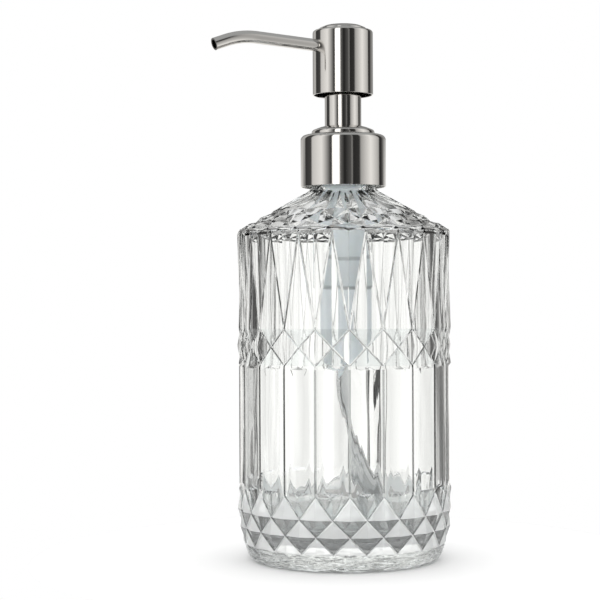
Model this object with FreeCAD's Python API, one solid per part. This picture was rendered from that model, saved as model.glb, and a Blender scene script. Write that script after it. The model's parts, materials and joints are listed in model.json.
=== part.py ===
"""Pressed-glass soap dispenser with a steel-clad lotion pump.

Frame: millimetres, +Z up, origin on the bottle's axis at the plane it stands on.
The spout points along -X.
"""

import math
import os

import FreeCAD
import Part

V = FreeCAD.Vector

# ---- glass bottle -------------------------------------------------------
facet_count = 20  # diamonds round the body
pattern_turn = 12.2  # degrees from +X to the middle of a diamond
bottle_r = 41.0
shoulder_z = 125.9  # where the cone starts
shoulder_rise = 16.0
shoulder_round = 1.2
cut_depth = 1.1  # depth of the grooves between the facets
apex_rise = 0.2  # diamonds stand this far proud of the grooves' rim
base_rows = [7.1, 13.3, 19.6, 28.0]  # heights of the diamond corners at the base
band_z = 82.2  # middle of the diamond band
band_half = 6.7
groove_share = 0.16  # half width of a panel's groove, as a share of half a pitch
cone_rows = [4.5, 9.0, 13.0]  # diamond corners on the cone, measured in from its edge
heel_height = 18.0
heel_drop = 4.9
heel_power = 1.6
foot_out = 2.1  # width of the tight radius at the foot
foot_round = 1.4
foot_width = 3.6
push_up = 2.2  # hollow under the base
glass_wall = 3.6
cone_wall = 3.0
floor_z = 9.0
floor_round = 8.0
neck_r = 12.45
neck_height = 16.5
neck_bore_r = 9.4
thread_pitch = 4.233
thread_height = 1.2
bottle_thread_turns = 1.25
closure_thread_turns = 1.5
thread_sink = 0.3  # how far a thread is rooted in its wall
thread_gap = 0.25  # crest to opposite wall
thread_flank_gap = 0.1  # under the bottle's thread, where the closure bears
thread_root_w = 2.2
thread_crest_w = 1.0
thread_below_lip = 3.5

# ---- closure ------------------------------------------------------------
gasket_t = 1.0
gasket_r = 12.5
sheet_t = 0.5  # drawn steel
fit_gap = 0.03  # pieces pressed together
turn_gap = 0.12  # pieces that turn on each other
insert_wall = 2.0
insert_top_t = 1.0
insert_short = 1.0  # the insert stops this far above the steel skirt
collar_below_lip = 15.5
collar_round = 4.0
collar_ledge = 4.3  # from the skirt in to the foot of the upper tier
tier_rise = 3.5
tier_drop = 1.7  # from the top of the dome down to the tier's edge
tier_round = 1.6
dome_in = 3.0  # the dome flattens this far in from the tier's edge
dome_drop = 0.55
dome_round = 3.0

# ---- pump body ----------------------------------------------------------
flange_t = 1.0
plug_r = 8.3  # upper part of the housing, inside the neck
plug_length = 19.0
plug_wall = 1.2
barrel_r = [6.95, 6.75, 6.2]
barrel_step_z = [116.5, 104.7]
barrel_end_z = 84.2
chamber_r = 5.2
chamber_top_z = 141.0
chamber_floor_z = 86.0
socket_r = 4.6
socket_length = 10.0
socket_depth = 8.5
ball_r = 2.4
ball_seat_r = 1.8
ball_seat_z = 84.6
ball_lift = 1.5
ball_room = 0.5
retainer_wall = 1.3
lock_flange_r = 9.0
lock_flange_t = 0.8
lock_r = 6.5
lock_bore_r = 5.3
lock_skirt = 14.0
guide_tube_r = 5.0
guide_web_z = 166.0
guide_web_t = 2.0
sleeve_t = 0.5
dip_tube_r = 3.2
dip_tube_wall = 0.8
dip_straight = 2.5
dip_bend_r = 102.0
dip_bend = 34.0  # degrees
dip_heading = -25.0  # degrees from +X

# ---- actuator -----------------------------------------------------------
stroke = 13.0
head_gap = 0.25  # head to the collar's dome when fully pressed
head_r = 11.6
head_skirt = 23.8
head_round = 1.1
button_r = 9.3
button_lean = 0.3  # the button's side leans in this much
button_side = 0.9
button_edge = 0.5
button_bevel = 2.1  # width of the sloping band round the button's crown
button_rise = 2.2
crown_drop = 0.4  # from the middle of the crown down to its edge
crown_round = 1.2
spout_r = 2.35
spout_bore_r = 1.75
spout_below_top = 5.9
spout_reach = 53.2
spout_lift = 3.3  # degrees up, out of the head
spout_straight = 36.0
spout_bend_r = 32.0
spout_bend = 23.5  # degrees
spout_socket = 6.5
core_under_spout = 0.6
core_boss_r = 5.0
core_boss_length = 10.7
stem_r = 3.2
stem_bore_r = 1.7
stem_gap = 0.15  # stem in its guide
stem_end_z = 127.0
port_r = 0.8
piston_gap = 0.05
piston_height = 8.4
piston_hub_r = 4.4
piston_lip = 1.2
plug_disc_r = 4.3
plug_disc_t = 1.6
plug_stalk = 8.0
plug_fin = 0.9
spring_wire = 0.8
spring_r = 4.2
spring_turns = 11

# ---- places that follow from the sizes above ------------------------------
neck_z = shoulder_z + shoulder_rise
lip_z = neck_z + neck_height
flange_z = lip_z + gasket_t
lock_z = flange_z + flange_t
insert_z = lock_z + lock_flange_t + turn_gap
sleeve_in_r = lock_r + fit_gap
sleeve_r = sleeve_in_r + sleeve_t
closure_hole_r = sleeve_r + turn_gap
insert_in_r = neck_r + thread_height + thread_gap
insert_r = insert_in_r + insert_wall
collar_r = insert_r + fit_gap + sheet_t
collar_z = lip_z - collar_below_lip
ledge_z = insert_z + insert_top_t + fit_gap + sheet_t
tier_z = ledge_z + tier_rise
tier_r = collar_r - collar_ledge
dome_r = tier_r - dome_in
head_in_r = head_r - sheet_t
if head_in_r > dome_r:
    under_head_z = tier_z - dome_drop - (tier_drop - dome_drop) * min(1.0, (head_in_r - dome_r) / dome_in)
else:
    under_head_z = tier_z - dome_drop * (head_in_r - closure_hole_r) / (dome_r - closure_hole_r)
head_z = under_head_z + head_gap + stroke
head_top_z = head_z + head_skirt + head_round
spout_z = head_top_z - spout_below_top - spout_r * 0.45
core_z = spout_z - spout_r - core_under_spout
sleeve_top_z = core_z - stroke - head_gap
stem_top_z = spout_z - stem_bore_r
retainer_z = ball_seat_z + math.sqrt(ball_r**2 - ball_seat_r**2) + ball_r + ball_lift + 0.1
retainer_top_z = retainer_z + retainer_wall
plug_top_z = stem_end_z - fit_gap
plug_low_z = plug_top_z - plug_disc_t
piston_z = plug_top_z + fit_gap
guide_end_z = piston_z + piston_height + piston_gap
socket_z = barrel_end_z - 2.2 - socket_length
half_pitch = 180.0 / facet_count
cone_slope = shoulder_rise / (bottle_r - neck_r)


# ---- helpers --------------------------------------------------------------
def outline(corners):
    """Closed wire in the XZ plane through (r, z) corners; a third value rounds that corner."""
    points = [V(c[0], 0, c[1]) for c in corners]
    ends = []
    for i, corner in enumerate(corners):
        here, before, after = points[i], points[i - 1], points[(i + 1) % len(points)]
        radius = corner[2] if len(corner) > 2 else 0
        if not radius:
            ends.append((here, None, here))
            continue
        one, two = before - here, after - here
        room = 0.45 * min(one.Length, two.Length)
        half = one.getAngle(two) / 2
        cut = min(radius / math.tan(half), room)
        radius = cut * math.tan(half)
        one.normalize()
        two.normalize()
        inward = (one + two).normalize()
        middle = here + inward * (radius / math.sin(half) - radius)
        ends.append((here + one * cut, middle, here + two * cut))
    edges = []
    for i, (start, middle, end) in enumerate(ends):
        if middle:
            edges.append(Part.Arc(start, middle, end).toShape())
        following = ends[(i + 1) % len(ends)][0]
        if (following - end).Length > 1e-6:
            edges.append(Part.makeLine(end, following))
    return Part.Wire(edges)


def turned(*corners):
    """Solid of revolution about the Z axis."""
    return Part.Face(outline(corners)).revolve(V(0, 0, 0), V(0, 0, 1), 360)


def ring(inner, outer, low, high):
    return turned((inner, low), (outer, low), (outer, high), (inner, high))


def rod(radius, start, end):
    return Part.makeCylinder(radius, (end - start).Length, start, end - start)


def helical_thread(wall_r, crest_r, low_z, turns):
    """Thread ridge that stands from wall_r to crest_r, rooted in the wall behind it."""
    root_r = wall_r + math.copysign(thread_sink, wall_r - crest_r)
    path = Part.makeHelix(thread_pitch, thread_pitch * turns, wall_r)
    ridge = Part.makePolygon(
        [
            V(root_r, 0, -thread_root_w / 2),
            V(crest_r, 0, -thread_crest_w / 2),
            V(crest_r, 0, thread_crest_w / 2),
            V(root_r, 0, thread_root_w / 2),
            V(root_r, 0, -thread_root_w / 2),
        ]
    )
    solid = Part.Wire(path).makePipeShell([ridge], True, True)
    solid.translate(V(0, 0, low_z))
    return solid


def tube_along(path, outer, inner):
    """Hollow tube round a wire that starts at path.Vertexes[0]."""
    start = path.Edges[0]
    at, along = start.valueAt(start.FirstParameter), start.tangentAt(start.FirstParameter)
    skins = []
    for radius in (outer, inner):
        circle = Part.Wire(Part.makeCircle(radius, at, along))
        skins.append(path.makePipeShell([circle], True, False))
    return skins[0].cut(skins[1])


# ---- glass bottle -----------------------------------------------------------
def spot(column, radius, z):
    """Point on the pattern: even columns run through diamonds, odd columns between them."""
    turn = math.radians(pattern_turn + column * half_pitch)
    return V(radius * math.cos(turn), radius * math.sin(turn), z)


def body_r(z):
    """Outer radius of the body below the shoulder."""
    above_foot = min(1.0, z / heel_height)
    return bottle_r - heel_drop * (1 - above_foot) ** heel_power


def facet(*points):
    return Part.Face(Part.makePolygon([*points, points[0]]))


def pyramid(corners, apex):
    """Four-sided pyramid on a diamond: left, upper, right and lower corners."""
    return [facet(corners[i - 1], corners[i], apex) for i in range(4)]


def fan(tip, rim):
    return [facet(tip, a, b) for a, b in zip(rim, rim[1:])]


def bottle_skin():
    """The faceted outside of the bottle as a closed solid, up to the foot of the neck."""
    faces = []
    low, lower, middle, upper = base_rows
    band_low, band_high = band_z - band_half, band_z + band_half
    edge_z = shoulder_z - shoulder_round
    sunk = {z: body_r(z) - cut_depth for z in (*base_rows, band_low, band_z, band_high)}
    foot_z = 0.5 * low
    foot = [(bottle_r - heel_drop - foot_out, 0.0), (body_r(foot_round), foot_round)]
    foot.append((body_r(foot_z), foot_z))

    def cone(inward, depth=0.0):
        return bottle_r - inward, shoulder_z + inward * cone_slope - depth

    def row(column, radius, z):
        return [spot(column + k, radius, z) for k in range(3)]

    # a panel's edge: groove bottom, groove rim, and the crown between two grooves
    crown = [0.0, groove_share, 0.55, 1.0, 1.45, 2.0 - groove_share, 2.0]
    for k in range(facet_count):
        a = 2 * k  # column through a diamond; b is the one after it
        b = a + 1
        for (r1, z1), (r2, z2) in zip(foot, foot[1:]):
            for c in (a, b):
                faces.append(
                    facet(spot(c, r1, z1), spot(c + 1, r1, z1), spot(c + 1, r2, z2), spot(c, r2, z2))
                )
        foot_rim = row(a - 1, *foot[-1])
        left, right = spot(a - 1, sunk[low], low), spot(b, sunk[low], low)
        peak = spot(a, sunk[lower], lower)
        faces += fan(peak, [left, *foot_rim, right])
        # two staggered rows of pyramids at the base
        faces += pyramid(
            [
                spot(b - 1, sunk[lower], lower),
                spot(b, sunk[middle], middle),
                spot(b + 1, sunk[lower], lower),
                spot(b, sunk[low], low),
            ],
            spot(b, body_r(lower) + apex_rise, lower),
        )
        faces += pyramid(
            [
                spot(a - 1, sunk[middle], middle),
                spot(a, sunk[upper], upper),
                spot(a + 1, sunk[middle], middle),
                spot(a, sunk[lower], lower),
            ],
            spot(a, body_r(middle) + apex_rise, middle),
        )
        # plain panels between V grooves
        rims = []
        for z in (upper, band_low):
            rims.append(
                [spot(a + c, bottle_r - cut_depth if c in (0.0, 2.0) else bottle_r, z) for c in crown]
            )
        for i in range(len(crown) - 1):
            faces.append(facet(rims[0][i], rims[0][i + 1], rims[1][i + 1], rims[1][i]))
        faces += fan(spot(b, sunk[middle], middle), rims[0])
        faces += fan(spot(b, sunk[band_z], band_z), rims[1])
        # the band of diamonds
        faces += pyramid(
            [
                spot(a - 1, sunk[band_z], band_z),
                spot(a, sunk[band_high], band_high),
                spot(a + 1, sunk[band_z], band_z),
                spot(a, sunk[band_low], band_low),
            ],
            spot(a, bottle_r + apex_rise, band_z),
        )
        collar_rim = [
            spot(a, sunk[band_high], band_high),
            spot(b, bottle_r, band_high),
            spot(a + 2, sunk[band_high], band_high),
        ]
        faces += fan(spot(b, sunk[band_z], band_z), collar_rim)
        # tall triangles up to the shoulder
        high = spot(b, bottle_r - cut_depth, edge_z)
        faces += fan(high, collar_rim)
        faces += fan(
            spot(a, sunk[band_high], band_high),
            [spot(a - 1, bottle_r - cut_depth, edge_z), spot(a, bottle_r, edge_z), high],
        )
        # shoulder edge
        brink = cone(shoulder_round)
        at_edge = [bottle_r, bottle_r - cut_depth, bottle_r]
        for c in (0, 1):
            faces.append(
                facet(
                    spot(a + c, at_edge[c], edge_z),
                    spot(a + c + 1, at_edge[c + 1], edge_z),
                    spot(a + c + 1, *brink),
                )
            )
            faces.append(
                facet(spot(a + c, at_edge[c], edge_z), spot(a + c + 1, *brink), spot(a + c, *brink))
            )
        # two staggered rows of pyramids on the cone, then long petals up to the neck
        outer, mid, inner = (cone(inward, cut_depth) for inward in cone_rows)
        faces += fan(spot(a, *outer), row(a - 1, *brink))
        faces += pyramid(
            [spot(b - 1, *outer), spot(b, *mid), spot(b + 1, *outer), spot(b, *brink)],
            spot(b, *cone(cone_rows[0], -apex_rise)),
        )
        faces += pyramid(
            [spot(a - 1, *mid), spot(a, *inner), spot(a + 1, *mid), spot(a, *outer)],
            spot(a, *cone(cone_rows[1], -apex_rise)),
        )
        top = row(a - 1, neck_r + fit_gap, neck_z)
        for side, other in ((a - 1, 0), (a + 1, 2)):
            faces.append(facet(spot(a, *inner), spot(side, *mid), top[other]))
            faces.append(facet(spot(a, *inner), top[other], top[1]))
    columns = range(2 * facet_count)
    faces.append(facet(*[spot(c, *foot[0]) for c in columns]))
    faces.append(facet(*[spot(c, neck_r + fit_gap, neck_z) for c in columns]))
    shell = Part.makeShell(faces)
    shell.sewShape()
    solid = Part.Solid(Part.Shell(shell.Faces))
    if solid.Volume < 0:
        solid.reverse()
    return solid


def glass_bottle():
    neck = ring(neck_bore_r - 1, neck_r, neck_z - cone_wall, lip_z)
    ridge_z = lip_z - thread_below_lip - thread_pitch * bottle_thread_turns
    ridge = helical_thread(neck_r, neck_r + thread_height, ridge_z, bottle_thread_turns)
    inner_r = bottle_r - glass_wall
    drop = cone_wall / math.cos(math.atan(cone_slope))
    bore_z = neck_z - (neck_bore_r - neck_r) * cone_slope - drop
    cavity = turned(
        (0, floor_z),
        (inner_r, floor_z, floor_round),
        (inner_r, shoulder_z + (bottle_r - inner_r) * cone_slope - drop, 4.0),
        (neck_bore_r, bore_z, 2.0),
        (neck_bore_r, lip_z + 1),
        (0, lip_z + 1),
    )
    ring_in = bottle_r - heel_drop - foot_out - foot_width
    hollow = turned((0, -1), (ring_in, -1), (ring_in, 0), (ring_in * 0.8, push_up, 6.0), (0, push_up))
    return bottle_skin().fuse([neck, ridge]).cut([cavity, hollow]).removeSplitter()


# ---- closure ----------------------------------------------------------------
def collar_outline(inset):
    """Outer surface of the drawn collar, or the inner one when inset by the sheet's thickness."""
    return [
        (collar_r - inset, ledge_z - inset, collar_round - inset),
        (tier_r - inset, ledge_z - inset),
        (tier_r - inset, tier_z - tier_drop - inset, tier_round - inset),
        (dome_r - inset, tier_z - dome_drop - inset, dome_round),
        (closure_hole_r, tier_z - inset),
    ]


def collar_shell():
    inner = collar_outline(sheet_t)
    return turned(
        (collar_r - sheet_t, collar_z, sheet_t * 0.4),
        (collar_r, collar_z, sheet_t * 0.4),
        *collar_outline(0.0),
        *reversed(inner),
    )


def closure_insert():
    skirt_z = collar_z + insert_short
    cup = turned(
        (closure_hole_r, insert_z),
        (lock_flange_r + turn_gap, insert_z),
        (lock_flange_r + turn_gap, lock_z + turn_gap),
        (insert_in_r, lock_z + turn_gap),
        (insert_in_r, skirt_z),
        (insert_r, skirt_z),
        (insert_r, insert_z + insert_top_t, collar_round - sheet_t),
        (closure_hole_r, insert_z + insert_top_t),
    )
    below = (thread_root_w + thread_crest_w) / 2 + thread_flank_gap
    ridge_z = lip_z - thread_below_lip - thread_pitch * bottle_thread_turns - below
    ridge = helical_thread(insert_in_r, neck_r + thread_gap, ridge_z, closure_thread_turns)
    return cup.fuse(ridge).removeSplitter()


def neck_gasket():
    return ring(neck_bore_r, gasket_r, lip_z, lip_z + gasket_t)


# ---- pump body ----------------------------------------------------------------
def pump_housing():
    first, second, third = barrel_r
    plug_z = flange_z - plug_length
    return turned(
        (ball_seat_r, ball_seat_z),
        (ball_r + ball_room, chamber_floor_z),
        (chamber_r, chamber_floor_z),
        (chamber_r, chamber_top_z),
        (plug_r - plug_wall, chamber_top_z + plug_wall),
        (plug_r - plug_wall, lock_z),
        (gasket_r - 0.1, lock_z),
        (gasket_r - 0.1, flange_z),
        (plug_r, flange_z),
        (plug_r, plug_z, 0.5),
        (first, plug_z - 1.4),
        (first, barrel_step_z[0]),
        (second, barrel_step_z[0] - 0.3),
        (second, barrel_step_z[1]),
        (third, barrel_step_z[1] - 0.5),
        (third, barrel_end_z, 1.0),
        (socket_r, barrel_end_z - 2.2),
        (socket_r, socket_z),
        (dip_tube_r + fit_gap, socket_z),
        (dip_tube_r + fit_gap, socket_z + socket_depth),
        (ball_seat_r, socket_z + socket_depth),
    )


def lock_collar():
    """Fixed top of the pump body: guides the stem and keeps the piston in."""
    return turned(
        (stem_r + stem_gap, guide_end_z),
        (guide_tube_r, guide_end_z),
        (guide_tube_r, guide_web_z),
        (lock_bore_r, guide_web_z),
        (lock_bore_r, lock_z - lock_skirt),
        (plug_r - plug_wall - fit_gap, lock_z - lock_skirt),
        (plug_r - plug_wall - fit_gap, lock_z),
        (lock_flange_r, lock_z),
        (lock_flange_r, lock_z + lock_flange_t),
        (lock_r, lock_z + lock_flange_t),
        (lock_r, sleeve_top_z - 0.4),
        (lock_bore_r, sleeve_top_z - 0.4),
        (lock_bore_r, guide_web_z + guide_web_t),
        (stem_r + stem_gap, guide_web_z + guide_web_t),
    )


def neck_sleeve():
    return turned(
        (sleeve_in_r, lock_z + lock_flange_t),
        (sleeve_r, lock_z + lock_flange_t),
        (sleeve_r, sleeve_top_z, sleeve_t * 0.4),
        (sleeve_in_r, sleeve_top_z),
    )


def dip_tube():
    """Straight in its socket, then one long bend towards the edge of the floor."""
    start_z = socket_z + socket_depth - fit_gap
    bend_z = socket_z - dip_straight
    turn = math.radians(dip_bend)

    def on_bend(share):
        swept = turn * share
        return V(dip_bend_r * (1 - math.cos(swept)), 0, bend_z - dip_bend_r * math.sin(swept))

    path = Part.Wire(
        [
            Part.makeLine(V(0, 0, start_z), V(0, 0, bend_z)),
            Part.Arc(on_bend(0), on_bend(0.5), on_bend(1)).toShape(),
        ]
    )
    tube = tube_along(path, dip_tube_r, dip_tube_r - dip_tube_wall)
    tube.rotate(V(0, 0, 0), V(0, 0, 1), dip_heading)
    return tube


def check_ball():
    rest_z = ball_seat_z + math.sqrt(ball_r**2 - ball_seat_r**2) + fit_gap
    return Part.makeSphere(ball_r, V(0, 0, rest_z))


def ball_retainer():
    """Cap over the ball, with four slots for the liquid, that carries the spring."""
    outer = chamber_r - fit_gap
    inner = ball_r + ball_room
    cap = turned(
        (inner, chamber_floor_z),
        (outer, chamber_floor_z),
        (outer, retainer_top_z, 0.3),
        (0, retainer_top_z),
        (0, retainer_z),
        (inner, retainer_z),
    )
    slots = [
        Part.makeBox(2 * outer, 1.6, 2.4, V(-outer, -0.8, chamber_floor_z + 1.0)),
        Part.makeBox(1.6, 2 * outer, 2.4, V(-0.8, -outer, chamber_floor_z + 1.0)),
        rod(1.2, V(0, 0, retainer_z - 1), V(0, 0, retainer_top_z + 1)),
    ]
    return cap.cut(slots)


def return_spring():
    """Compression spring with ground ends, between the retainer and the valve plug."""
    low, high = retainer_top_z + fit_gap, plug_low_z - fit_gap
    path = Part.makeHelix((high - low) / spring_turns, high - low, spring_r)
    profile = Part.Wire(Part.makeCircle(spring_wire / 2, V(spring_r, 0, 0), V(0, 1, 0)))
    coil = Part.Wire(path).makePipeShell([profile], True, True)
    coil.translate(V(0, 0, low))
    keep = Part.makeCylinder(2 * spring_r, high - low, V(0, 0, low))
    return coil.common(keep)


# ---- actuator --------------------------------------------------------------
def piston_seal():
    """Two-lipped seal between the stem and the chamber wall."""
    lip_r = chamber_r - piston_gap
    top = piston_z + piston_height
    middle = piston_z + piston_height / 2
    return turned(
        (stem_r + fit_gap, piston_z),
        (piston_hub_r, piston_z),
        (piston_hub_r, piston_z + 1.6),
        (lip_r - 0.4, piston_z + 0.2),
        (lip_r, piston_z + 0.2),
        (lip_r, piston_z + 0.2 + piston_lip),
        (piston_hub_r + 0.2, middle - 0.6),
        (piston_hub_r + 0.2, middle + 0.6),
        (lip_r, top - piston_lip),
        (lip_r, top),
        (lip_r - 0.4, top),
        (piston_hub_r, top - 1.4),
        (piston_hub_r, top),
        (stem_r + fit_gap, top),
    )


def stem():
    body = turned(
        (stem_bore_r, stem_end_z),
        (stem_r, stem_end_z),
        (stem_r, stem_top_z, 0.3),
        (stem_bore_r, stem_top_z),
    )
    port_z = stem_end_z + 1.0 + port_r
    ports = [
        rod(port_r, V(-2 * stem_r, 0, port_z), V(2 * stem_r, 0, port_z)),
        rod(port_r, V(0, -2 * stem_r, port_z), V(0, 2 * stem_r, port_z)),
    ]
    return body.cut(ports)


def valve_plug():
    """Disc under the stem, on a four-finned stalk that leaves room for the liquid."""
    disc = turned(
        (0, plug_low_z),
        (plug_disc_r, plug_low_z),
        (plug_disc_r, plug_top_z, 0.3),
        (0, plug_top_z),
    )
    reach = stem_bore_r - fit_gap
    width = plug_fin / 2
    fins = [
        Part.makeBox(2 * reach, plug_fin, plug_stalk, V(-reach, -width, plug_top_z - 0.1)),
        Part.makeBox(plug_fin, 2 * reach, plug_stalk, V(-width, -reach, plug_top_z - 0.1)),
    ]
    round_stalk = rod(reach, V(0, 0, plug_top_z - 0.1), V(0, 0, plug_top_z + plug_stalk))
    stalk = fins[0].fuse(fins[1]).common(round_stalk)
    return disc.fuse(stalk).removeSplitter()


def on_spout(distance):
    """Point on the spout's straight axis, measured out from the pump's axis."""
    lift = math.radians(spout_lift)
    return V(-distance * math.cos(lift), 0, spout_z + distance * math.sin(lift))


def actuator_core():
    outer = head_in_r - fit_gap
    top = head_top_z - sheet_t - 0.2
    body = turned(
        (0, core_z),
        (outer, core_z),
        (outer, top, head_round - sheet_t + 0.3),
        (0, top),
    )
    boss = rod(core_boss_r, V(0, 0, core_z - core_boss_length), V(0, 0, core_z + 0.5))
    cuts = [
        rod(stem_r + fit_gap, V(0, 0, core_z - core_boss_length - 1), V(0, 0, stem_top_z + fit_gap)),
        rod(stem_bore_r, V(0, 0, stem_top_z), V(0, 0, spout_z)),
        rod(spout_bore_r, on_spout(0), on_spout(head_r)),
        rod(spout_r + fit_gap, on_spout(head_r - spout_socket), on_spout(2 * head_r)),
    ]
    return body.fuse(boss).cut(cuts).removeSplitter()


def head_outline(inset):
    top = head_top_z - inset
    edge_r = button_r - button_lean - inset
    return [
        (head_r - inset, top, head_round),
        (button_r - inset, top, 0.3),
        (edge_r, top + button_side, button_edge),
        (edge_r - button_bevel, top + button_rise - crown_drop, crown_round),
        (0, top + button_rise),
    ]


def actuator_shell():
    skin = turned(
        (head_in_r, head_z, sheet_t * 0.4),
        (head_r, head_z, sheet_t * 0.4),
        *head_outline(0.0),
        *reversed(head_outline(sheet_t)),
    )
    hole = rod(spout_r + fit_gap, on_spout(0), on_spout(2 * head_r))
    return skin.cut(hole)


def spout_tube():
    """Straight and a little up out of the head, then bent down."""
    turn = math.radians(spout_bend)

    def on_bend(share):
        swept = turn * share
        x = -spout_straight - spout_bend_r * math.sin(swept)
        return V(x, 0, spout_z - spout_bend_r * (1 - math.cos(swept)))

    last = on_bend(1)
    tail = (spout_reach + last.x) / math.cos(turn)
    tip = last + V(-math.cos(turn), 0, -math.sin(turn)) * tail
    path = Part.Wire(
        [
            Part.makeLine(V(spout_socket - fit_gap - head_r, 0, spout_z), on_bend(0)),
            Part.Arc(on_bend(0), on_bend(0.5), last).toShape(),
            Part.makeLine(last, tip),
        ]
    )
    tube = tube_along(path, spout_r, spout_bore_r)
    tube.rotate(V(0, 0, spout_z), V(0, 1, 0), spout_lift)
    return tube


PIECES = [
    glass_bottle,
    neck_gasket,
    collar_shell,
    closure_insert,
    pump_housing,
    lock_collar,
    neck_sleeve,
    dip_tube,
    check_ball,
    ball_retainer,
    return_spring,
    piston_seal,
    stem,
    valve_plug,
    actuator_core,
    actuator_shell,
    spout_tube,
]

os.makedirs("parts", exist_ok=True)
for make in PIECES:
    shape = make()
    solids = shape.Solids
    if not solids or not all(s.isValid() and s.Volume > 0 for s in solids):
        raise RuntimeError(f"{make.__name__} isn't a sound solid")
    made = solids[0] if len(solids) == 1 else Part.makeCompound(solids)
    made.exportStep(f"parts/{make.__name__}.step")
    box = made.BoundBox
    print(
        f"{make.__name__:16} {len(solids)} solid, {made.Volume:9.1f} mm3, "
        f"z {box.ZMin:7.2f} to {box.ZMax:7.2f}, {box.XLength:6.2f} x {box.YLength:6.2f}"
    )
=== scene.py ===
"""Cut-pattern glass soap dispenser with a steel-clad pump, in metres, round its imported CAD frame."""

import json
import math

import bmesh
import bpy
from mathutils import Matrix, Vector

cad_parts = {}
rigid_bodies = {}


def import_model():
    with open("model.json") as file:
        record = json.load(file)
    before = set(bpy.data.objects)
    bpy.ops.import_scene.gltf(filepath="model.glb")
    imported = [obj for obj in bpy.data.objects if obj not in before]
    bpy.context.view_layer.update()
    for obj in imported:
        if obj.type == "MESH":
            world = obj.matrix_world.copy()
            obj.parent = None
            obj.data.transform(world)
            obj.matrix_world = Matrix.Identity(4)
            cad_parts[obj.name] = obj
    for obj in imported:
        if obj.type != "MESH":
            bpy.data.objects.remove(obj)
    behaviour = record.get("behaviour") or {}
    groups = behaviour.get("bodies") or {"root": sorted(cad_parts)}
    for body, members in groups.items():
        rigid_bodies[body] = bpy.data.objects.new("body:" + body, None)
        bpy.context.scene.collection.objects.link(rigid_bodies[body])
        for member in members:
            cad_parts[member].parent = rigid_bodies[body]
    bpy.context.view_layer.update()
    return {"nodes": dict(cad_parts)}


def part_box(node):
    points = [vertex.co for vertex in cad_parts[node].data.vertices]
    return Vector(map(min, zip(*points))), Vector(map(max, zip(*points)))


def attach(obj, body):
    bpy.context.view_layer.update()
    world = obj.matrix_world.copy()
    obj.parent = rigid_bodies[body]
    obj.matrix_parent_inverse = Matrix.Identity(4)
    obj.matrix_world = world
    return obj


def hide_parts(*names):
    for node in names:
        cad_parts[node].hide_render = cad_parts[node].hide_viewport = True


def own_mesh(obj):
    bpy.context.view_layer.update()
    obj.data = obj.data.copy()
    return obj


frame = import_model()
nodes = frame["nodes"]
mm = 0.001


# ---------------------------------------------------------------------------
# Glass bottle: clear pressed soda-lime glass, moulded in one piece.
# Its rings are drawn up one by one, the diamond corners are pushed in, and the
# lines between the facets are bevelled and sunk as the mould's ribs leave them.
# ---------------------------------------------------------------------------
glass_low, glass_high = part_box("glass_bottle")
pattern_turn = math.radians(12.2)
pattern_columns = 40


def start_ring(name, columns, height, radius, turn=0.0):
    """Begin a piece as one level ring of corners about the bottle's axis, in edit mode."""
    bpy.ops.object.select_all(action="DESELECT")
    bpy.ops.mesh.primitive_circle_add(
        vertices=columns, radius=radius, location=(0, 0, height), rotation=(0, 0, turn)
    )
    piece = bpy.context.object
    piece.name = piece.data.name = name
    bpy.ops.object.transform_apply(location=True, rotation=True, scale=True)
    bpy.ops.object.mode_set(mode="EDIT")
    bpy.ops.mesh.select_mode(type="VERT")
    bpy.ops.mesh.select_all(action="SELECT")
    return piece


def next_ring(height, radius):
    """Draw the selected ring on to a new height and radius."""
    mesh = bmesh.from_edit_mesh(bpy.context.object.data)
    corner = next(v.co.copy() for v in mesh.verts if v.select)
    bpy.ops.mesh.extrude_region_move(TRANSFORM_OT_translate={"value": (0, 0, height - corner.z)})
    grow = radius / corner.xy.length
    bpy.ops.transform.resize(value=(grow, grow, 1), center_override=(0, 0, 0))


def pick(test):
    """Select the corners of the piece in hand that pass a test of their place."""
    bpy.ops.mesh.select_mode(type="VERT")
    bpy.ops.mesh.select_all(action="DESELECT")
    mesh = bmesh.from_edit_mesh(bpy.context.object.data)
    for corner in mesh.verts:
        corner.select = test(corner.co)
    mesh.select_flush_mode()
    bmesh.update_edit_mesh(bpy.context.object.data)


def pick_edges(test):
    """Select the edges of the piece in hand that pass a test."""
    bpy.ops.mesh.select_mode(type="EDGE")
    bpy.ops.mesh.select_all(action="DESELECT")
    mesh = bmesh.from_edit_mesh(bpy.context.object.data)
    for edge in mesh.edges:
        edge.select = test(edge)
    mesh.select_flush_mode()
    bmesh.update_edit_mesh(bpy.context.object.data)


def on_pattern(height, column):
    """Test for the corners at a height on the even (0) or odd (1) columns of the pattern."""
    step = 2 * math.pi / pattern_columns

    def test(corner):
        turned = (math.atan2(corner.y, corner.x) - pattern_turn) / step
        return abs(corner.z - height) < 0.02 * mm and round(turned) % 2 == column

    return test


def push_in(height, column, depth, fall=0.0):
    """Push the corners on one ring towards the axis, and down by fall."""
    pick(on_pattern(height, column))
    mesh = bmesh.from_edit_mesh(bpy.context.object.data)
    radius = next(v.co.xy.length for v in mesh.verts if v.select)
    shrink = (radius - depth) / radius
    bpy.ops.transform.resize(value=(shrink, shrink, 1), center_override=(0, 0, 0))
    bpy.ops.transform.translate(value=(0, 0, -fall))


def crease(low, low_column, high, high_column, line=True):
    """Join the corners of two rings by an edge, and mark it if it is a line of the pattern."""
    lower, upper = on_pattern(low, low_column), on_pattern(high, high_column)
    pick(lambda corner: lower(corner) or upper(corner))
    if low_column != high_column:
        bpy.ops.mesh.vert_connect()
    if line:
        bpy.ops.mesh.mark_seam(clear=False)


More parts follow.
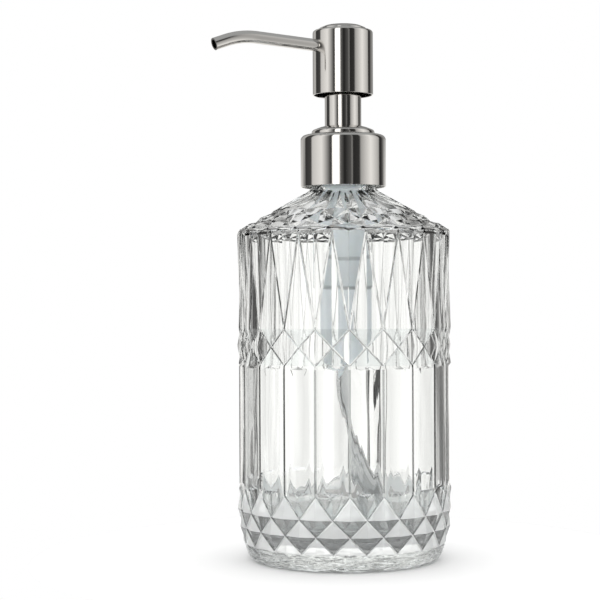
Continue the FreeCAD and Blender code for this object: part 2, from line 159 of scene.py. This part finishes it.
def finish_mesh(piece, soften=0.0, segments=2, limit=11.0):
    """Point the faces outwards, round the sharp edges and shade the piece smooth."""
    bpy.ops.mesh.select_all(action="SELECT")
    bpy.ops.mesh.remove_doubles(threshold=0.001 * mm)
    bpy.ops.mesh.normals_make_consistent(inside=False)
    bpy.ops.object.mode_set(mode="OBJECT")
    bpy.ops.object.shade_smooth()
    if soften:
        rounding = piece.modifiers.new("rounding", "BEVEL")
        rounding.width = soften
        rounding.segments = segments
        rounding.limit_method = "ANGLE"
        rounding.angle_limit = math.radians(limit)
        rounding.harden_normals = True
        rounding.miter_outer = "MITER_ARC"
        bpy.ops.object.modifier_apply(modifier=rounding.name)


facet_depth = 1.1 * mm  # ends of the lines, inside the full radius
facet_rise = 0.1 * mm  # middles of the diamonds, outside it
panel_groove = 0.95 * mm
body_radius = 41.0 * mm
foot_radius = 34.0 * mm
base_rows = [7.1 * mm, 13.3 * mm, 19.6 * mm, 28.0 * mm]
band_rows = [75.5 * mm, 82.2 * mm, 88.9 * mm]
panel_ease = 1.4 * mm  # from a diamond's corner to the full radius of the panel beside it
shoulder_z = 125.9 * mm
neck_radius = 12.45 * mm
neck_z = 141.9 * mm
cone_rows = [36.4 * mm, 31.8 * mm, 27.3 * mm]
cone_slope = (neck_z - shoulder_z) / (body_radius - neck_radius)


def cone_height(radius):
    return shoulder_z + (body_radius - radius) * cone_slope


bottle = start_ring("bottle", pattern_columns, 0.0, foot_radius, pattern_turn - math.pi / 2)
for height, radius in [(0.4, 35.4), (1.4, 36.7), (3.2, 37.7), (5.6, 38.4)]:
    next_ring(height * mm, radius * mm)
for height, radius in zip(base_rows, [39.1, 40.5, 41.0, 41.0]):
    next_ring(height, radius * mm)
next_ring(base_rows[3] + panel_ease, body_radius)
next_ring(band_rows[0] - panel_ease, body_radius)
for height in band_rows:
    next_ring(height, body_radius)
shoulder_ring = shoulder_z - 1.5 * mm
next_ring(shoulder_ring, body_radius)
next_ring(shoulder_z - 0.5 * mm, body_radius - 0.1 * mm)
brink_radius = body_radius - 0.7 * mm
next_ring(cone_height(brink_radius), brink_radius)
for radius in cone_rows:
    next_ring(cone_height(radius), radius)
petal_radii = [cone_rows[2] - 2.2 * mm, 19.0 * mm, neck_radius + 1.6 * mm]
for radius in petal_radii:
    next_ring(cone_height(radius), radius)
next_ring(neck_z + 0.1 * mm, neck_radius + 0.5 * mm)
next_ring(neck_z + 0.7 * mm, neck_radius)
next_ring(glass_high.z - 0.4 * mm, neck_radius)
next_ring(glass_high.z, neck_radius - 0.5 * mm)
bore_radius = 9.4 * mm
cavity_radius = 37.4 * mm
cone_wall = 2.8 * mm
next_ring(glass_high.z, bore_radius + 0.5 * mm)
next_ring(glass_high.z - 0.5 * mm, bore_radius)
next_ring(cone_height(bore_radius + 1.2 * mm) - cone_wall, bore_radius)
next_ring(cone_height(bore_radius + 2.6 * mm) - cone_wall - 0.4 * mm, bore_radius + 1.2 * mm)
next_ring(cone_height(cavity_radius - 1.4 * mm) - cone_wall, cavity_radius - 1.4 * mm)
next_ring(cone_height(cavity_radius - 0.4 * mm) - cone_wall - 0.4 * mm, cavity_radius - 0.4 * mm)
next_ring(cone_height(cavity_radius) - cone_wall - 1.2 * mm, cavity_radius)
floor_z = 9.0 * mm
floor_rounding = 8.0 * mm
next_ring(floor_z + floor_rounding, cavity_radius)
for step in range(1, 7):
    swing = math.radians(15 * step)
    reach = floor_rounding * (1 - math.cos(swing))
    next_ring(floor_z + floor_rounding * (1 - math.sin(swing)), cavity_radius - reach)
next_ring(floor_z + 0.25 * mm, 12.0 * mm)
next_ring(floor_z + 0.3 * mm, 2.0 * mm)
bpy.ops.mesh.merge(type="CENTER")

pick(lambda corner: abs(corner.z) < 0.001 * mm)
for height, radius in [(0.0, 30.5), (0.5, 28.6), (1.6, 25.0), (2.1, 22.0), (2.2, 2.0)]:
    next_ring(height * mm, radius * mm)
bpy.ops.mesh.merge(type="CENTER")

# lines of the pattern, from the foot up to the neck
panel_low, panel_high = base_rows[3] + panel_ease, band_rows[0] - panel_ease
crease(base_rows[0], 1, base_rows[1], 0)
crease(base_rows[1], 0, base_rows[2], 1)
crease(base_rows[2], 1, base_rows[3], 0)
crease(base_rows[3], 0, panel_low, 0)
crease(panel_low, 0, panel_high, 0)
crease(panel_high, 0, band_rows[0], 0)
crease(band_rows[0], 0, band_rows[1], 1)
crease(band_rows[1], 1, band_rows[2], 0)
crease(band_rows[2], 0, shoulder_ring, 1)
brink = cone_height(brink_radius)
outer_row, middle_row, inner_row = (cone_height(radius) for radius in cone_rows)
crease(brink, 1, outer_row, 0, line=False)
crease(outer_row, 0, middle_row, 1, line=False)
crease(middle_row, 1, inner_row, 0, line=False)

# the ends of the lines go in, and the middles of the diamonds stand out
for row, column in zip(base_rows[1:], [0, 1, 0]):
    push_in(row, column, facet_depth)
push_in(base_rows[0], 1, 0.8 * mm)
for row, column in zip(band_rows, [0, 1, 0]):
    push_in(row, column, facet_depth)
for row, column in [(base_rows[1], 1), (base_rows[2], 0), (band_rows[1], 0)]:
    push_in(row, column, -facet_rise)
for row in (panel_low, panel_high):
    push_in(row, 0, panel_groove)
push_in(shoulder_ring, 1, panel_groove)
petal_rows = [cone_height(radius) for radius in petal_radii]
for row, column, depth in [
    (outer_row, 0, 1.3), (outer_row, 1, -0.3), (middle_row, 1, 1.5), (middle_row, 0, -0.3),
    (inner_row, 0, 0.5), (petal_rows[0], 0, 1.7), (petal_rows[1], 0, 1.6), (petal_rows[2], 0, 0.9),
]:
    push_in(row, column, 0.45 * depth * mm, 0.9 * depth * mm)


def along_petal(edge):
    """True for the bottom of a flute on the cone."""
    low, high = sorted((v.co.z for v in edge.verts))
    first, second = (on_pattern(v.co.z, 0)(v.co) for v in edge.verts)
    return first and second and high - low > mm and inner_row < low and high < neck_z


pick_edges(along_petal)
bpy.ops.mesh.bevel(offset=1.2 * mm, segments=4, affect="EDGES")


def along_panel(edge):
    """True for the crown of a plain panel, half way between two grooves."""
    return all(on_pattern(v.co.z, 1)(v.co) and v.co.xy.length > cavity_radius + mm for v in edge.verts) and {
        round(v.co.z / mm, 2) for v in edge.verts
    } == {round(panel_low / mm, 2), round(panel_high / mm, 2)}


pick_edges(along_panel)
bpy.ops.mesh.bevel(offset=5.0 * mm, segments=7, affect="EDGES")



def lean(face):
    """Place of a face on the pattern: half columns off the nearest even column, and its height."""
    middle = face.calc_center_median()
    step = 2 * math.pi / pattern_columns
    column = (math.atan2(middle.y, middle.x) - pattern_turn) / step
    return abs(column - 2 * round(column / 2)), middle.z, middle.xy.length


def pick_faces(test):
    """Select the outer faces of the piece in hand that pass a test of their place."""
    bpy.ops.mesh.select_mode(type="FACE")
    bpy.ops.mesh.select_all(action="DESELECT")
    mesh = bmesh.from_edit_mesh(bpy.context.object.data)
    for face in mesh.faces:
        off, height, radius = lean(face)
        face.select = radius > cavity_radius + 0.3 * mm and test(off, height)
    bmesh.update_edit_mesh(bpy.context.object.data)


def finish_and_shade_faces(test, slot):
    pick_faces(test)
    bpy.context.object.active_material_index = slot
    bpy.ops.object.material_slot_assign()


def below_ridge(off, height):
    """Lower faces of the two rows of diamonds at the base, which get painted shade."""
    if base_rows[0] < height < base_rows[1]:
        share = (height - base_rows[0]) / (base_rows[1] - base_rows[0])
        return off > 1 - share
    if base_rows[1] < height < base_rows[2]:
        share = (height - base_rows[1]) / (base_rows[2] - base_rows[1])
        return off < share
    return False


def beside_diamonds(off, height):
    """Small triangles of the band, above and below the diamonds' sides, and over the top row."""
    reach = 1 - abs(height - band_rows[1]) / (band_rows[1] - band_rows[0])
    in_band = band_rows[0] < height < band_rows[2] and off > reach
    share = (height - base_rows[2]) / (base_rows[3] - base_rows[2])
    return in_band or (0 < share < 1 and off > 1 - share)


def above_ridge(off, height):
    """Upper faces of the diamonds at the base, and the small triangles of their lowest row, which get a painted
    highlight.
    """
    in_base = base_rows[0] < height < base_rows[3]
    return in_base and not below_ridge(off, height) and not beside_diamonds(off, height)


# glass copies: clear, stippled, painted shade on the diamonds' lower faces, painted highlight on their upper
# faces, painted shade in the panel grooves
clear_glass = bpy.data.materials.new("clear_glass")
stippled_glass = bpy.data.materials.new("stippled_glass")
painted_shade_glass = bpy.data.materials.new("painted_shade_glass")
painted_highlight_glass = bpy.data.materials.new("painted_highlight_glass")
painted_shade_groove_glass = bpy.data.materials.new("painted_shade_groove_glass")
for finish in (clear_glass, stippled_glass, painted_shade_glass, painted_highlight_glass, painted_shade_groove_glass):
    bottle.data.materials.append(finish)
finish_and_shade_faces(beside_diamonds, 1)
finish_and_shade_faces(below_ridge, 2)
finish_and_shade_faces(above_ridge, 3)

line_width = 0.40 * mm
line_depth = 0.44 * mm
pick_edges(lambda edge: edge.seam)
bpy.ops.mesh.bevel(offset=line_width, segments=2, affect="EDGES")
bpy.ops.mesh.select_less()
bpy.ops.transform.shrink_fatten(value=-line_depth)
groove_share = 0.09  # half width of a sunk groove, in columns
# painted shade: the sunk grooves between the plain panels get grey tinted glass
finish_and_shade_faces(lambda off, height: off < groove_share and panel_low < height < panel_high, 4)
finish_mesh(bottle, soften=0.12 * mm, limit=20.0)


def add(tree, kind, **values):
    """A shader node whose inputs are set to values, or joined where a value is a socket."""
    made = tree.nodes.new(kind)
    for name, value in values.items():
        key = name.replace("_", " ")
        if key in made.inputs:
            if isinstance(value, bpy.types.NodeSocket):
                tree.links.new(value, made.inputs[key])
            else:
                made.inputs[key].default_value = value
        else:
            setattr(made, name, value)
    return made


def new_material(name, **values):
    """A material whose Principled BSDF has the given values; returns it with its tree and shader."""
    material = bpy.data.materials.new(name)
    material.use_nodes = True
    tree = material.node_tree
    shader = tree.nodes["Principled BSDF"]
    for key, value in values.items():
        shader.inputs[key.replace("_", " ")].default_value = value
    return material, tree, shader


def dress(piece, material):
    """Give the whole piece one material."""
    piece.data.materials.clear()
    piece.data.materials.append(material)


def make_glass(material, tone, stipple, frost):
    """Pressed glass: drawn waviness all over, ripples in the foot, and stipple where it is asked for; a tone
    below 1 darkens it as painted shade.
    """
    material.use_nodes = True
    tree = material.node_tree
    shader = tree.nodes["Principled BSDF"]
    shader.inputs["Base Color"].default_value = (0.985 * tone, 0.995 * tone, 0.995 * tone, 1)
    shader.inputs["Roughness"].default_value = 0.0
    shader.inputs["IOR"].default_value = 1.5
    shader.inputs["Transmission Weight"].default_value = 1.0 - frost
    place = add(tree, "ShaderNodeTexCoord").outputs["Object"]
    drawn = add(tree, "ShaderNodeMapping", Vector=place, Scale=(1, 1, 0.12))
    waves = add(tree, "ShaderNodeTexNoise", Vector=drawn.outputs["Vector"], Scale=190.0, Detail=0.5)
    bump = add(tree, "ShaderNodeBump", Height=waves.outputs["Fac"], Strength=0.2, Distance=0.0006)
    level = add(tree, "ShaderNodeMapping", Vector=place, Scale=(1, 1, 4.5))
    creep = add(tree, "ShaderNodeTexNoise", Vector=level.outputs["Vector"], Scale=110.0, Detail=2.0)
    height = add(tree, "ShaderNodeSeparateXYZ", Vector=place)
    foot = add(tree, "ShaderNodeMapRange", Value=height.outputs["Z"])
    foot.inputs["From Min"].default_value = 0.0085
    foot.inputs["From Max"].default_value = 0.0060
    foot.inputs["To Max"].default_value = 0.8
    bump = add(
        tree, "ShaderNodeBump", Height=creep.outputs["Fac"], Strength=foot.outputs["Result"],
        Distance=0.0011, Normal=bump.outputs["Normal"],
    )
    if stipple:
        dots = add(tree, "ShaderNodeTexVoronoi", Vector=place, Scale=1500.0)
        bump = add(
            tree, "ShaderNodeBump", Height=dots.outputs["Distance"], Strength=stipple,
            Distance=0.0003, Normal=bump.outputs["Normal"],
        )
    tree.links.new(bump.outputs["Normal"], shader.inputs["Normal"])
    # clear glass throws almost no shade on what stands in it or under it
    ray = add(tree, "ShaderNodeLightPath")
    soft = add(tree, "ShaderNodeMath", operation="MAXIMUM")
    tree.links.new(ray.outputs["Is Diffuse Ray"], soft.inputs[0])
    tree.links.new(ray.outputs["Is Shadow Ray"], soft.inputs[1])
    part_lit = add(tree, "ShaderNodeMath", operation="MULTIPLY")
    tree.links.new(soft.outputs[0], part_lit.inputs[0])
    part_lit.inputs[1].default_value = 0.55
    through = add(tree, "ShaderNodeBsdfTransparent", Color=(0.96, 0.97, 0.97, 1))
    mixed = add(tree, "ShaderNodeMixShader", Fac=part_lit.outputs[0])
    tree.links.new(shader.outputs["BSDF"], mixed.inputs[1])
    tree.links.new(through.outputs["BSDF"], mixed.inputs[2])
    tree.links.new(mixed.outputs["Shader"], tree.nodes["Material Output"].inputs["Surface"])
    depth_tint = add(tree, "ShaderNodeVolumeAbsorption", Color=(0.74, 0.83, 0.82, 1), Density=4.0)
    tree.links.new(depth_tint.outputs["Volume"], tree.nodes["Material Output"].inputs["Volume"])


make_glass(clear_glass, 1.0, 0.0, 0.0)
make_glass(stippled_glass, 1.0, 0.03, 0.1)
# painted shade: the lower faces of the base diamonds are tinted dark grey and a little frosted
make_glass(painted_shade_glass, 0.42, 0.0, 0.22)
# painted highlight: the upper faces of the base diamonds are frosted white so they look lit from overhead
make_glass(painted_highlight_glass, 1.0, 0.0, 0.42)
# painted shade: the grooves between the panels are tinted grey
make_glass(painted_shade_groove_glass, 0.5, 0.0, 0.1)
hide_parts("glass_bottle")
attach(bottle, "bottle")


# ---------------------------------------------------------------------------
# Steel cladding: drawn stainless sheet with a fine turned grain.
# ---------------------------------------------------------------------------
satin_steel, tree, shader = new_material(
    "satin_steel", Base_Color=(0.65, 0.637, 0.618, 1), Metallic=1.0, Roughness=0.08
)
place = add(tree, "ShaderNodeTexCoord")
stretch = add(tree, "ShaderNodeMapping", Vector=place.outputs["Object"], Scale=(60, 60, 6000))
grain = add(tree, "ShaderNodeTexNoise", Vector=stretch.outputs["Vector"], Scale=1.0, Detail=2.0)
ripple = add(tree, "ShaderNodeBump", Height=grain.outputs["Fac"], Strength=0.03, Distance=0.00003)
tree.links.new(ripple.outputs["Normal"], shader.inputs["Normal"])
for name in ("collar_shell", "neck_sleeve", "actuator_shell", "spout_tube"):
    dress(nodes[name], satin_steel)



# ---------------------------------------------------------------------------
# Pump body: moulded natural polypropylene, milky, with the flow lines of the
# mould. The housing hangs in the neck by its flange, and the tube is pressed in.
# ---------------------------------------------------------------------------
milk_group = bpy.data.node_groups.new("moulded_flow", "ShaderNodeTree")
for name, kind in (("Light", "NodeSocketColor"), ("Dark", "NodeSocketColor"), ("Relief", "NodeSocketFloat")):
    milk_group.interface.new_socket(name, in_out="INPUT", socket_type=kind)
milk_group.interface.new_socket("Color", in_out="OUTPUT", socket_type="NodeSocketColor")
milk_group.interface.new_socket("Normal", in_out="OUTPUT", socket_type="NodeSocketVector")
given = milk_group.nodes.new("NodeGroupInput")
result = milk_group.nodes.new("NodeGroupOutput")
place = add(milk_group, "ShaderNodeTexCoord").outputs["Object"]
drawn = add(milk_group, "ShaderNodeMapping", Vector=place, Scale=(1, 1, 0.35))
flow = add(milk_group, "ShaderNodeTexNoise", Vector=drawn.outputs["Vector"], Scale=160.0, Detail=3.0)
tone = add(milk_group, "ShaderNodeMix", data_type="RGBA")
milk_group.links.new(flow.outputs["Fac"], tone.inputs["Factor"])
milk_group.links.new(given.outputs["Light"], tone.inputs[6])
milk_group.links.new(given.outputs["Dark"], tone.inputs[7])
pores = add(milk_group, "ShaderNodeTexNoise", Vector=place, Scale=2600.0, Detail=2.0)
relief = add(
    milk_group, "ShaderNodeBump", Height=pores.outputs["Fac"], Strength=given.outputs["Relief"], Distance=0.0001
)
milk_group.links.new(tone.outputs[2], result.inputs["Color"])
milk_group.links.new(relief.outputs["Normal"], result.inputs["Normal"])


def moulded(name, light, dark, relief_strength, **values):
    """Moulded plastic or foam: its own two tones, relief and gloss over the shared flow pattern."""
    material, tree, shader = new_material(name, **values)
    pattern = tree.nodes.new("ShaderNodeGroup")
    pattern.node_tree = milk_group
    pattern.inputs["Light"].default_value = (*light, 1)
    pattern.inputs["Dark"].default_value = (*dark, 1)
    pattern.inputs["Relief"].default_value = relief_strength
    tree.links.new(pattern.outputs["Color"], shader.inputs["Base Color"])
    tree.links.new(pattern.outputs["Normal"], shader.inputs["Normal"])
    return material


milky_plastic = moulded(
    "milky_plastic", (0.90, 0.94, 0.96), (0.80, 0.86, 0.90), 0.15, Roughness=0.32, Subsurface_Weight=0.1
)
for name in ("stem", "ball_retainer"):
    dress(nodes[name], milky_plastic)

# The housing's colour is darkened in bands up its height as painted shade, standing in for the piston, the
# stem's foot and the spring seen through the milky wall, with a sharp dark line painted where each one ends.
housing_plastic = moulded(
    "housing_plastic", (0.95, 0.96, 0.97), (0.88, 0.91, 0.93), 0.15, Roughness=0.32, Subsurface_Weight=0.1
)
tree = housing_plastic.node_tree
shader = tree.nodes["Principled BSDF"]
pattern_color = shader.inputs["Base Color"].links[0].from_socket
level = add(tree, "ShaderNodeSeparateXYZ", Vector=add(tree, "ShaderNodeTexCoord").outputs["Object"])
inside = add(tree, "ShaderNodeMapRange", Value=level.outputs["Z"])
inside.inputs["From Min"].default_value = 0.085
inside.inputs["From Max"].default_value = 0.130
# painted shade: darker bands and lines over the housing's height
painted_shade_bands = add(tree, "ShaderNodeValToRGB", Fac=inside.outputs["Result"])
painted_shade_bands.color_ramp.interpolation = "LINEAR"
for at, value in (
    (0.0, 1.0), (0.41, 0.97), (0.42, 0.50), (0.44, 0.50), (0.45, 0.76), (0.66, 0.84), (0.67, 0.55), (0.69, 0.55),
    (0.70, 0.84), (1.0, 0.96),
):
    stop = painted_shade_bands.color_ramp.elements.new(at)
    stop.color = (value, value, value, 1)
painted_shade_bands.color_ramp.elements.remove(painted_shade_bands.color_ramp.elements[0])
painted_shade_bands.color_ramp.elements.remove(painted_shade_bands.color_ramp.elements[-1])
painted_shade_mix = add(tree, "ShaderNodeMix", data_type="RGBA", blend_type="MULTIPLY")
painted_shade_mix.inputs["Factor"].default_value = 1.0
tree.links.new(pattern_color, painted_shade_mix.inputs[6])
tree.links.new(painted_shade_bands.outputs["Color"], painted_shade_mix.inputs[7])
tree.links.new(painted_shade_mix.outputs[2], shader.inputs["Base Color"])
dress(nodes["pump_housing"], housing_plastic)
tube_plastic = moulded(
    "tube_plastic", (0.93, 0.94, 0.94), (0.78, 0.79, 0.80), 0.1, Roughness=0.05, IOR=1.4,
    Transmission_Weight=0.9,
)
dress(nodes["dip_tube"], tube_plastic)


# ---------------------------------------------------------------------------
# Closure, lock collar and head core: moulded white polypropylene under the
# steel. The closure screws on; the lock collar snaps into the housing.
# ---------------------------------------------------------------------------
white_plastic = moulded("white_plastic", (0.86, 0.86, 0.84), (0.76, 0.76, 0.74), 0.25, Roughness=0.38)
for name in ("closure_insert", "lock_collar", "actuator_core"):
    dress(nodes[name], white_plastic)


# ---------------------------------------------------------------------------
# Seals: soft polyethylene piston and valve plug, and a foam gasket on the neck.
# ---------------------------------------------------------------------------
soft_plastic = moulded("soft_plastic", (0.80, 0.84, 0.88), (0.70, 0.74, 0.80), 0.2, Roughness=0.5)
for name in ("piston_seal", "valve_plug"):
    dress(nodes[name], soft_plastic)
foam = moulded("foam", (0.82, 0.82, 0.79), (0.62, 0.62, 0.60), 1.0, Roughness=0.9)
dress(nodes["neck_gasket"], foam)


# ---------------------------------------------------------------------------
# Return spring: drawn stainless wire, coiled cold, with flat ground ends. It
# stands on the cap over the ball and pushes the valve plug up.
# ---------------------------------------------------------------------------
spring_low, spring_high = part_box("return_spring")
wire_radius = 0.4 * mm
coil_radius = 4.2 * mm
coil_turns = 11
coil_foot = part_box("ball_retainer")[1].z + 0.03 * mm
coil_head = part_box("valve_plug")[0].z - 0.03 * mm
bpy.ops.object.select_all(action="DESELECT")
bpy.ops.mesh.primitive_circle_add(
    vertices=12, radius=wire_radius, location=(coil_radius, 0, coil_foot), rotation=(math.pi / 2, 0, 0)
)
spring = bpy.context.object
spring.name = spring.data.name = "coil_spring"
bpy.ops.object.transform_apply(location=True, rotation=True, scale=True)
coiling = spring.modifiers.new("coiling", "SCREW")
coiling.screw_offset = (coil_head - coil_foot) / coil_turns
coiling.iterations = coil_turns
coiling.steps = coiling.render_steps = 32
coiling.use_merge_vertices = False
bpy.ops.object.modifier_apply(modifier=coiling.name)
bpy.ops.object.mode_set(mode="EDIT")
bpy.ops.mesh.select_all(action="SELECT")
bpy.ops.mesh.fill_holes(sides=0)
for end, outward in ((coil_foot, -1), (coil_head, 1)):
    bpy.ops.mesh.select_all(action="SELECT")
    bpy.ops.mesh.bisect(
        plane_co=(0, 0, end), plane_no=(0, 0, outward), use_fill=True, clear_outer=True, threshold=0.000001
    )
finish_mesh(spring)
spring_steel, tree, shader = new_material(
    "spring_steel", Base_Color=(0.62, 0.63, 0.64, 1), Metallic=1.0, Roughness=0.22
)
place = add(tree, "ShaderNodeTexCoord")
scratch = add(tree, "ShaderNodeTexNoise", Vector=place.outputs["Object"], Scale=900.0, Detail=3.0)
ripple = add(tree, "ShaderNodeBump", Height=scratch.outputs["Fac"], Strength=0.2, Distance=0.00005)
tree.links.new(ripple.outputs["Normal"], shader.inputs["Normal"])
dress(spring, spring_steel)
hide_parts("return_spring")
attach(spring, "pump_body")
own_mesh(spring)


# ---------------------------------------------------------------------------
# Check ball: a polished stainless ball, loose on its seat under the slotted cap.
# ---------------------------------------------------------------------------
ball_steel, tree, shader = new_material(
    "ball_steel", Base_Color=(0.74, 0.75, 0.76, 1), Metallic=1.0, Roughness=0.06
)
place = add(tree, "ShaderNodeTexCoord")
lap = add(tree, "ShaderNodeTexNoise", Vector=place.outputs["Object"], Scale=3000.0, Detail=1.0)
ripple = add(tree, "ShaderNodeBump", Height=lap.outputs["Fac"], Strength=0.05, Distance=0.00002)
tree.links.new(ripple.outputs["Normal"], shader.inputs["Normal"])
dress(nodes["check_ball"], ball_steel)


# ---------------------------------------------------------------------------
# Studio: a pale disc of floor, a white surround with dark flags, and the camera.
# ---------------------------------------------------------------------------
bpy.ops.object.select_all(action="DESELECT")
bpy.ops.mesh.primitive_circle_add(vertices=64, radius=0.12, fill_type="NGON", location=(0, 0, 0))
table = bpy.context.object
table.name = "table"
table_paint, tree, shader = new_material("table_paint", Base_Color=(0.66, 0.66, 0.66, 1), Roughness=0.9)
dress(table, table_paint)

view_turn = math.radians(-25.0)
view_roll = math.radians(0.25)
camera_distance = 0.617
camera_height = 0.0995
camera_shift = 0.0169
world = bpy.data.worlds.new("studio")
bpy.context.scene.world = world
world.use_nodes = True
tree = world.node_tree
tree.nodes.clear()
toward = add(tree, "ShaderNodeTexCoord")
part = add(tree, "ShaderNodeSeparateXYZ", Vector=toward.outputs["Generated"])
# direction round the object, 0 behind it and 0.5 at the camera
turned = add(tree, "ShaderNodeVectorRotate", Vector=toward.outputs["Generated"], Angle=-view_turn)
flat = add(tree, "ShaderNodeSeparateXYZ", Vector=turned.outputs["Vector"])
heading = add(tree, "ShaderNodeMath", operation="ARCTAN2")
tree.links.new(flat.outputs["X"], heading.inputs[0])
back = add(tree, "ShaderNodeMath", operation="MULTIPLY")
tree.links.new(flat.outputs["Y"], back.inputs[0])
back.inputs[1].default_value = -1.0
tree.links.new(back.outputs[0], heading.inputs[1])
share = add(tree, "ShaderNodeMapRange")
tree.links.new(heading.outputs[0], share.inputs["Value"])
share.inputs["From Min"].default_value = -math.pi
share.inputs["From Max"].default_value = math.pi


def flags(name, stops):
    """Brightness round the horizon, from behind the object on the left to behind it on the right."""
    ramp = add(tree, "ShaderNodeValToRGB", label=name)
    tree.links.new(share.outputs["Result"], ramp.inputs["Fac"])
    band = ramp.color_ramp
    while len(band.elements) > 1:
        band.elements.remove(band.elements[-1])
    for i, (degrees, value) in enumerate(stops):
        at = (degrees + 180) / 360
        stop = band.elements[0] if i == 0 else band.elements.new(at)
        stop.position = at
        stop.color = (value, value * 0.985, value * 0.96, 1)
    return ramp


around = flags(
    "round the object",
    [
        (-180, 0.14), (-165, 0.18), (-150, 0.34), (-130, 0.40), (-125, 0.03), (-98, 0.05), (-94, 0.50),
        (-62, 0.72), (-44, 0.22), (-37, 0.04), (-32, 0.05), (-30, 1.30), (-13, 1.30), (-10, 0.12), (2, 0.01),
        (12, 0.05), (20, 0.08), (22, 0.25), (25, 0.02), (43, 0.03), (47, 0.32), (78, 0.74), (109, 0.36),
        (113, 0.02), (124, 0.03), (130, 0.12), (150, 0.26), (165, 0.18), (180, 0.14),
    ],
)
behind = flags(
    "low behind it",
    [
        (-180, 0.74), (-177, 0.56), (-174, 0.76), (-170, 0.60), (-166, 0.76), (-161, 0.50), (-158, 0.72),
        (-153, 0.44), (-149, 0.64), (-145, 0.32), (-141, 0.48), (-136, 0.16), (-130, 0.05), (130, 0.05),
        (136, 0.18), (140, 0.46), (144, 0.30), (148, 0.62), (153, 0.44), (157, 0.72), (161, 0.50),
        (165, 0.76), (169, 0.58), (173, 0.76), (176, 0.60), (180, 0.74),
    ],
)
swing = add(tree, "ShaderNodeMath", operation="ABSOLUTE")
tree.links.new(heading.outputs[0], swing.inputs[0])
rear = add(tree, "ShaderNodeMapRange", Value=swing.outputs[0])
rear.inputs["From Min"].default_value = math.radians(127)
rear.inputs["From Max"].default_value = math.radians(133)
seen = add(tree, "ShaderNodeLightPath")
# through the glass the low part of the sweep reaches higher
lifted = add(tree, "ShaderNodeMath", operation="MULTIPLY_ADD")
tree.links.new(seen.outputs["Is Transmission Ray"], lifted.inputs[0])
lifted.inputs[1].default_value = -0.12
tree.links.new(flat.outputs["Z"], lifted.inputs[2])
low = add(tree, "ShaderNodeMapRange", interpolation_type="SMOOTHSTEP")
tree.links.new(lifted.outputs[0], low.inputs["Value"])
low.inputs["From Min"].default_value = 0.13
low.inputs["From Max"].default_value = 0.05
both = add(tree, "ShaderNodeMath", operation="MULTIPLY")
tree.links.new(rear.outputs["Result"], both.inputs[0])
tree.links.new(low.outputs["Result"], both.inputs[1])
sides = add(tree, "ShaderNodeMix", data_type="RGBA")
tree.links.new(both.outputs[0], sides.inputs["Factor"])
tree.links.new(around.outputs["Color"], sides.inputs[6])
tree.links.new(behind.outputs["Color"], sides.inputs[7])
over = add(tree, "ShaderNodeMapRange", interpolation_type="SMOOTHSTEP")
tree.links.new(flat.outputs["Z"], over.inputs["Value"])
over.inputs["From Min"].default_value = 0.55
over.inputs["From Max"].default_value = 0.8
canopy = add(tree, "ShaderNodeMix", data_type="RGBA")
tree.links.new(seen.outputs["Is Diffuse Ray"], canopy.inputs["Factor"])
streaked = add(tree, "ShaderNodeMix", data_type="RGBA")
streaked.inputs["Factor"].default_value = 0.4
streaked.inputs[6].default_value = (0.68, 0.68, 0.68, 1)
tree.links.new(around.outputs["Color"], streaked.inputs[7])
# the steel sees a grey canopy overhead, and the glass a paler one with streaks
overhead = add(tree, "ShaderNodeMix", data_type="RGBA")
tree.links.new(seen.outputs["Is Transmission Ray"], overhead.inputs["Factor"])
overhead.inputs[6].default_value = (0.30, 0.305, 0.305, 1)
tree.links.new(streaked.outputs[2], overhead.inputs[7])
tree.links.new(overhead.outputs[2], canopy.inputs[6])
canopy.inputs[7].default_value = (1.6, 1.6, 1.6, 1)
whole = add(tree, "ShaderNodeMix", data_type="RGBA")
tree.links.new(over.outputs["Result"], whole.inputs["Factor"])
# matt surfaces are lit evenly from the sides
even = add(tree, "ShaderNodeMix", data_type="RGBA")
tree.links.new(seen.outputs["Is Diffuse Ray"], even.inputs["Factor"])
tree.links.new(sides.outputs[2], even.inputs[6])
even.inputs[7].default_value = (0.9, 0.9, 0.9, 1)
tree.links.new(even.outputs[2], whole.inputs[6])
tree.links.new(canopy.outputs[2], whole.inputs[7])
studio = add(tree, "ShaderNodeBackground", Strength=1.6)
tree.links.new(whole.outputs[2], studio.inputs["Color"])
paper = add(tree, "ShaderNodeBackground", Color=(1, 1, 1, 1), Strength=1.0)
blend = add(tree, "ShaderNodeMixShader", Fac=seen.outputs["Is Camera Ray"])
tree.links.new(studio.outputs["Background"], blend.inputs[1])
tree.links.new(paper.outputs["Background"], blend.inputs[2])
surround = add(tree, "ShaderNodeOutputWorld")
tree.links.new(blend.outputs["Shader"], surround.inputs["Surface"])

bpy.ops.object.camera_add(
    location=(
        camera_distance * math.sin(view_turn) - camera_shift * math.cos(view_turn),
        -camera_distance * math.cos(view_turn) - camera_shift * math.sin(view_turn),
        camera_height,
    ),
    rotation=(math.pi / 2, view_roll, view_turn),
)
camera = bpy.context.object
camera.data.lens = 96.0
camera.data.sensor_width = 36.0
bpy.context.scene.camera = camera
bpy.context.scene.view_settings.view_transform = "Standard"
bpy.context.scene.cycles.max_bounces = 24
bpy.context.scene.cycles.transmission_bounces = 24
